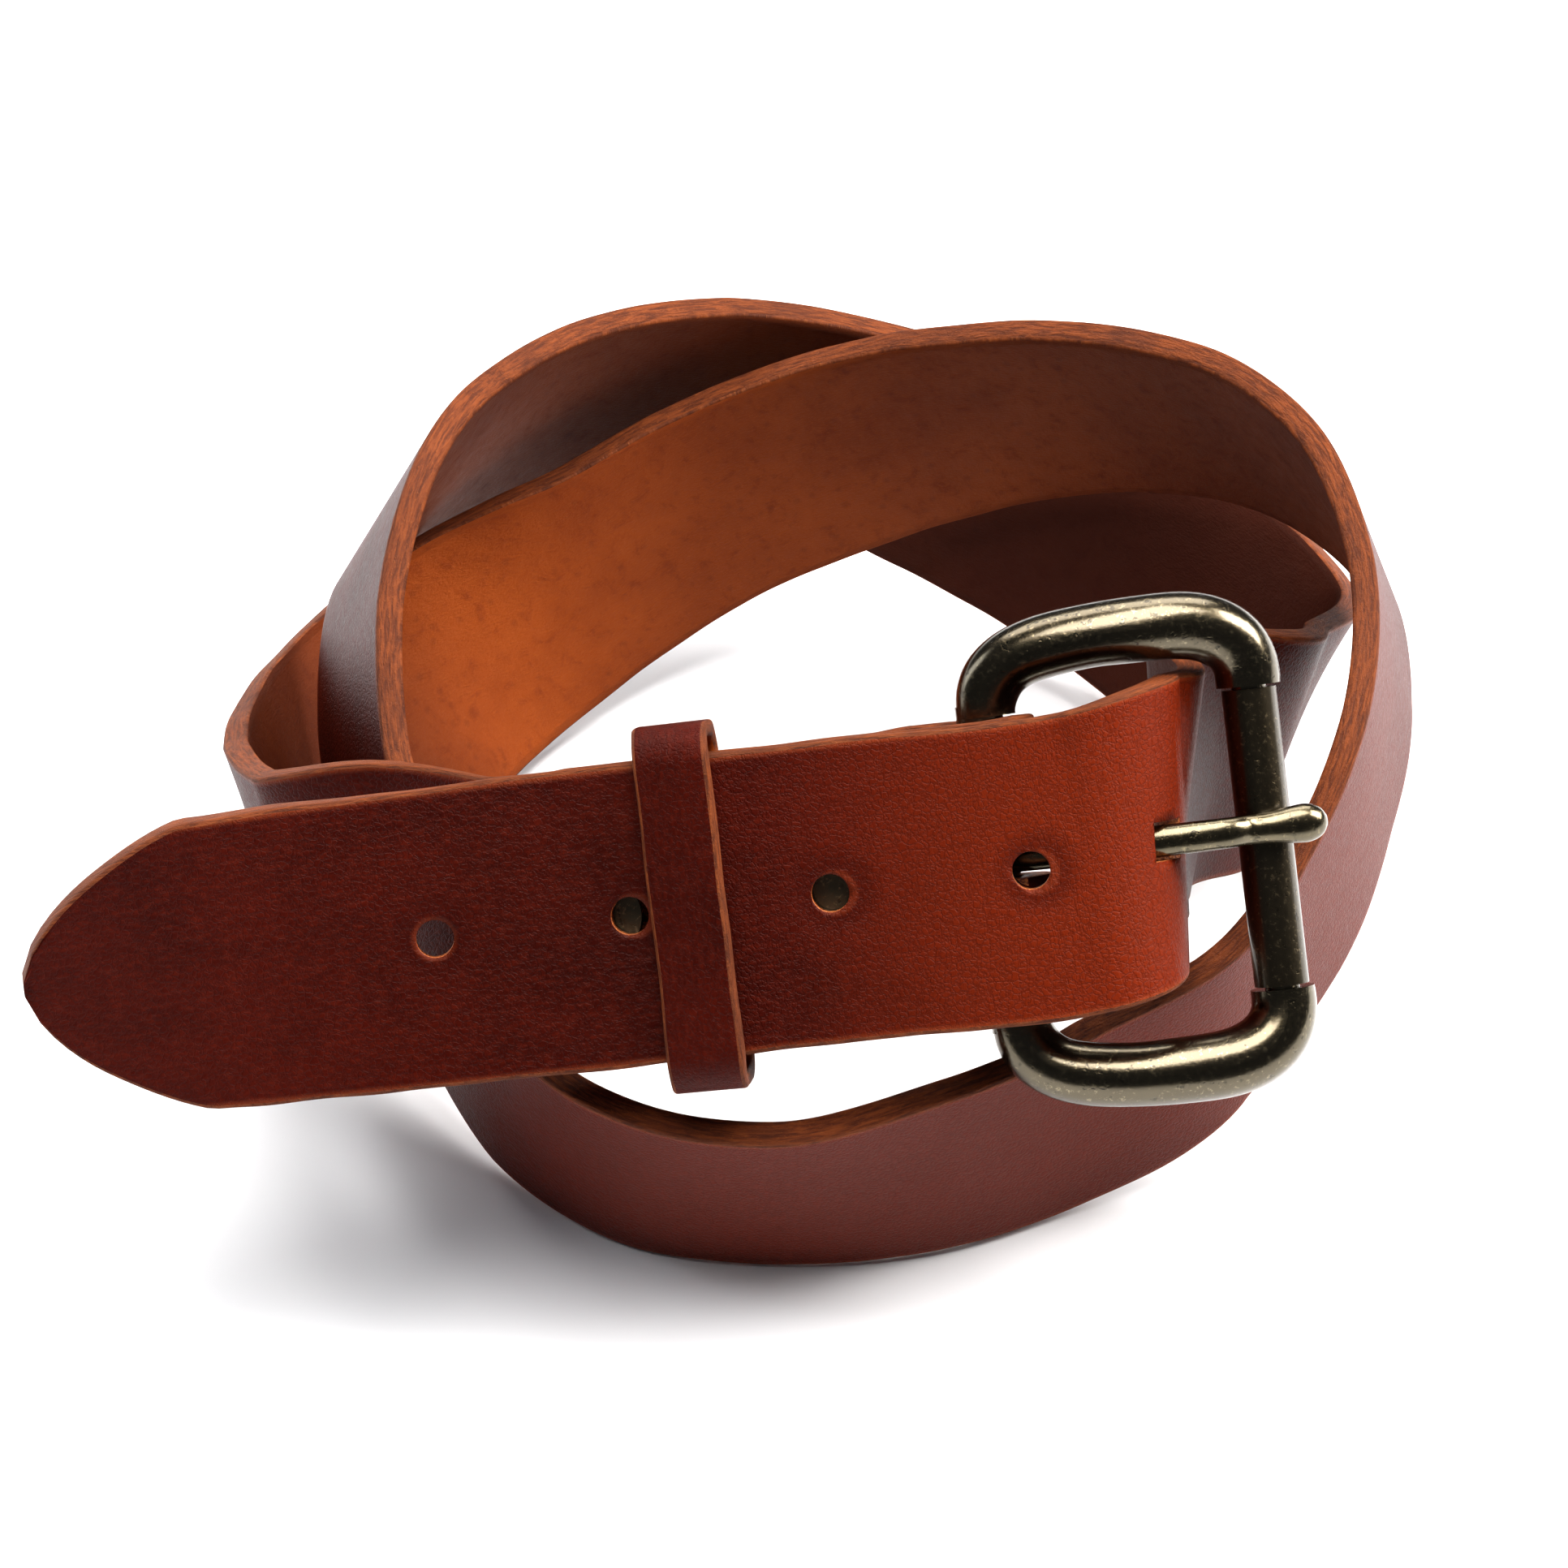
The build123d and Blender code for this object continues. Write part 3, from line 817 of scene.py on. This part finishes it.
def build_tongue(metal):
    """Round pin bent round the heel bar, thinning towards the roller and ending in a rounded nose."""
    roller_u = heel_to_roller * math.cos(math.radians(frame_tilt))
    roller_n = -heel_to_roller * math.sin(math.radians(frame_tilt))
    rest_n = roller_n + roller_dia / 2 + 0.3 + tongue_thick / 2
    ring = heel_bar_dia / 2 + 1.25
    ring_steps = 30
    # each point: u, n, half width, half thickness
    points = []
    for i in range(ring_steps + 1):
        a = math.radians(280 - 200 * i / ring_steps)
        points.append((ring * math.cos(a), ring * math.sin(a), 1.9, 1.05))
    points += [
        (6.5, 4.55, 1.95, 1.3),
        (13.0, shaft_n - 0.1, 2.0, 1.4),
        (hole_u, shaft_n, 2.0, 1.4),
        (29.0, shaft_n - 0.55, 1.95, 1.4),
        (roller_u - 2.0, rest_n + 0.15, 1.9, 1.4),
        (roller_u + 1.2, rest_n, 2.05, 1.5),
        (roller_u + 3.4, rest_n - 0.45, 2.35, 1.75),
        (roller_u + 5.4, rest_n - 1.1, 2.45, 1.9),
        (roller_u + 6.9, rest_n - 1.75, 1.9, 1.5),
        (roller_u + 7.7, rest_n - 2.1, 0.9, 0.7),
    ]
    fine = through(points, ring_steps, 8)

    sides = 28
    verts, faces = [], []
    for i, (u, n, wide, thick) in enumerate(fine):
        before = fine[max(i - 1, 0)]
        after = fine[min(i + 1, len(fine) - 1)]
        ahead = (along_u * (after[0] - before[0]) + along_n * (after[1] - before[1])).normalized()
        up = along_v.cross(ahead)
        for k in range(sides):
            a = 2 * math.pi * k / sides
            ring_point = along_v * math.cos(a) * wide + up * math.sin(a) * thick
            verts.append(local(u, tongue_v, n) + ring_point)
    for i in range(len(fine) - 1):
        low = i * sides
        for k in range(sides):
            m = (k + 1) % sides
            faces.append((low + k, low + m, low + sides + m, low + sides + k))
    last = (len(fine) - 1) * sides
    faces.append(tuple(reversed(range(sides))))
    faces.append(tuple(range(last, last + sides)))
    tongue = new_object("tongue_pin", verts, faces, [metal])
    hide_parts("tongue")
    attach(tongue, "tongue")


def repaint(node, material):
    """Gives a CAD node a better material."""
    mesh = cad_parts[node].data
    mesh.materials.clear()
    mesh.materials.append(material)


# Each metal: dark patina, bright metal, roughness, how far worn, share of bright specks.
buckle_metal = metal_material(
    "antique_brass_cast", (0.090, 0.075, 0.050), (0.50, 0.42, 0.27), 0.22, 0.22, 0.28
)
roller_metal = metal_material(
    "antique_brass_tube", (0.058, 0.047, 0.031), (0.36, 0.28, 0.17), 0.34, 0.15, 0.24
)
tongue_metal = metal_material(
    "antique_brass_pin", (0.090, 0.076, 0.048), (0.58, 0.48, 0.29), 0.24, 0.30, 0.22
)
screw_metal = metal_material(
    "antique_brass_screw", (0.12, 0.10, 0.065), (0.55, 0.45, 0.27), 0.34, 0.4, 0.4
)
staple_metal = metal_material("staple_wire", (0.30, 0.29, 0.27), (0.72, 0.70, 0.66), 0.30, 0.5, 0.3)

build_strap()
build_keeper()
build_tongue(tongue_metal)
repaint("buckle_frame", buckle_metal)
repaint("roller", roller_metal)
for screw_node in ("screw_post_near", "screw_post_far", "screw_near", "screw_far"):
    repaint(screw_node, screw_metal)
repaint("keeper_staple", staple_metal)


# ---- floor, light and camera ----------------------------------------------------
def pale_floor():
    """Large plain floor, a hair below the belt."""
    half = 4000
    height = -0.3
    verts = [Vector((x * half, y * half, height)) for x, y in ((-1, -1), (1, -1), (1, 1), (-1, 1))]
    n = Nodes("pale_floor")
    n.put(n.shader, "Base Color", (0.84, 0.87, 0.93, 1))
    n.put(n.shader, "Roughness", 0.7)
    floor = new_object("floor", verts, [(0, 1, 2, 3)], [n.material])


def soft_light(name, place, aim, size, power, colour):
    """Rectangular area light in metres and watts, turned towards its aim."""
    data = bpy.data.lights.new(name, "AREA")
    data.shape = "RECTANGLE"
    data.size, data.size_y = size
    data.energy = power
    data.color = colour
    light = bpy.data.objects.new(name, data)
    bpy.context.scene.collection.objects.link(light)
    light.location = place
    light.rotation_euler = (Vector(aim) - Vector(place)).to_track_quat("-Z", "Y").to_euler()


pale_floor()
warm_white = (1.0, 0.96, 0.90)
soft_light("key_right", (1.05, 0.20, 0.85), (0, 0, 0.04), (0.6, 0.8), 26, (1.0, 0.95, 0.88))
soft_light("overhead", (0.05, -0.05, 1.10), (0, 0, 0.03), (0.9, 0.60), 17, warm_white)
soft_light("top_back", (-0.10, 0.85, 1.00), (0, 0, 0.03), (1.5, 0.6), 16, warm_white)
soft_light("left_window", (-1.3, 0.45, 0.45), (0, 0, 0.04), (0.4, 0.9), 4, (0.92, 0.96, 1.0))

world = bpy.data.worlds.new("studio")
world.use_nodes = True
background = world.node_tree.nodes["Background"]
background.inputs["Color"].default_value = (0.93, 0.96, 1.0, 1)
background.inputs["Strength"].default_value = 0.10
bpy.context.scene.world = world
bpy.context.scene.view_settings.view_transform = "Standard"
bpy.context.scene.view_settings.look = "Medium High Contrast"

# The camera looks down at the belt from the front, from about 0.77 m away.
camera_place = Vector((0, -565.7, 522.4)) + belt_shift
camera_down = 42.72
camera_data = bpy.data.cameras.new("camera")
camera_data.sensor_width = 36
camera_data.lens = 121.4
camera_data.shift_x = 0.0045
camera_data.shift_y = 0.0187
camera_data.clip_start = 0.05
camera_data.clip_end = 20
camera = bpy.data.objects.new("camera", camera_data)
bpy.context.scene.collection.objects.link(camera)
camera.location = camera_place * MM
camera.rotation_euler = (math.radians(90 - camera_down), 0, 0)
bpy.context.scene.camera = camera

bpy.context.view_layer.update()
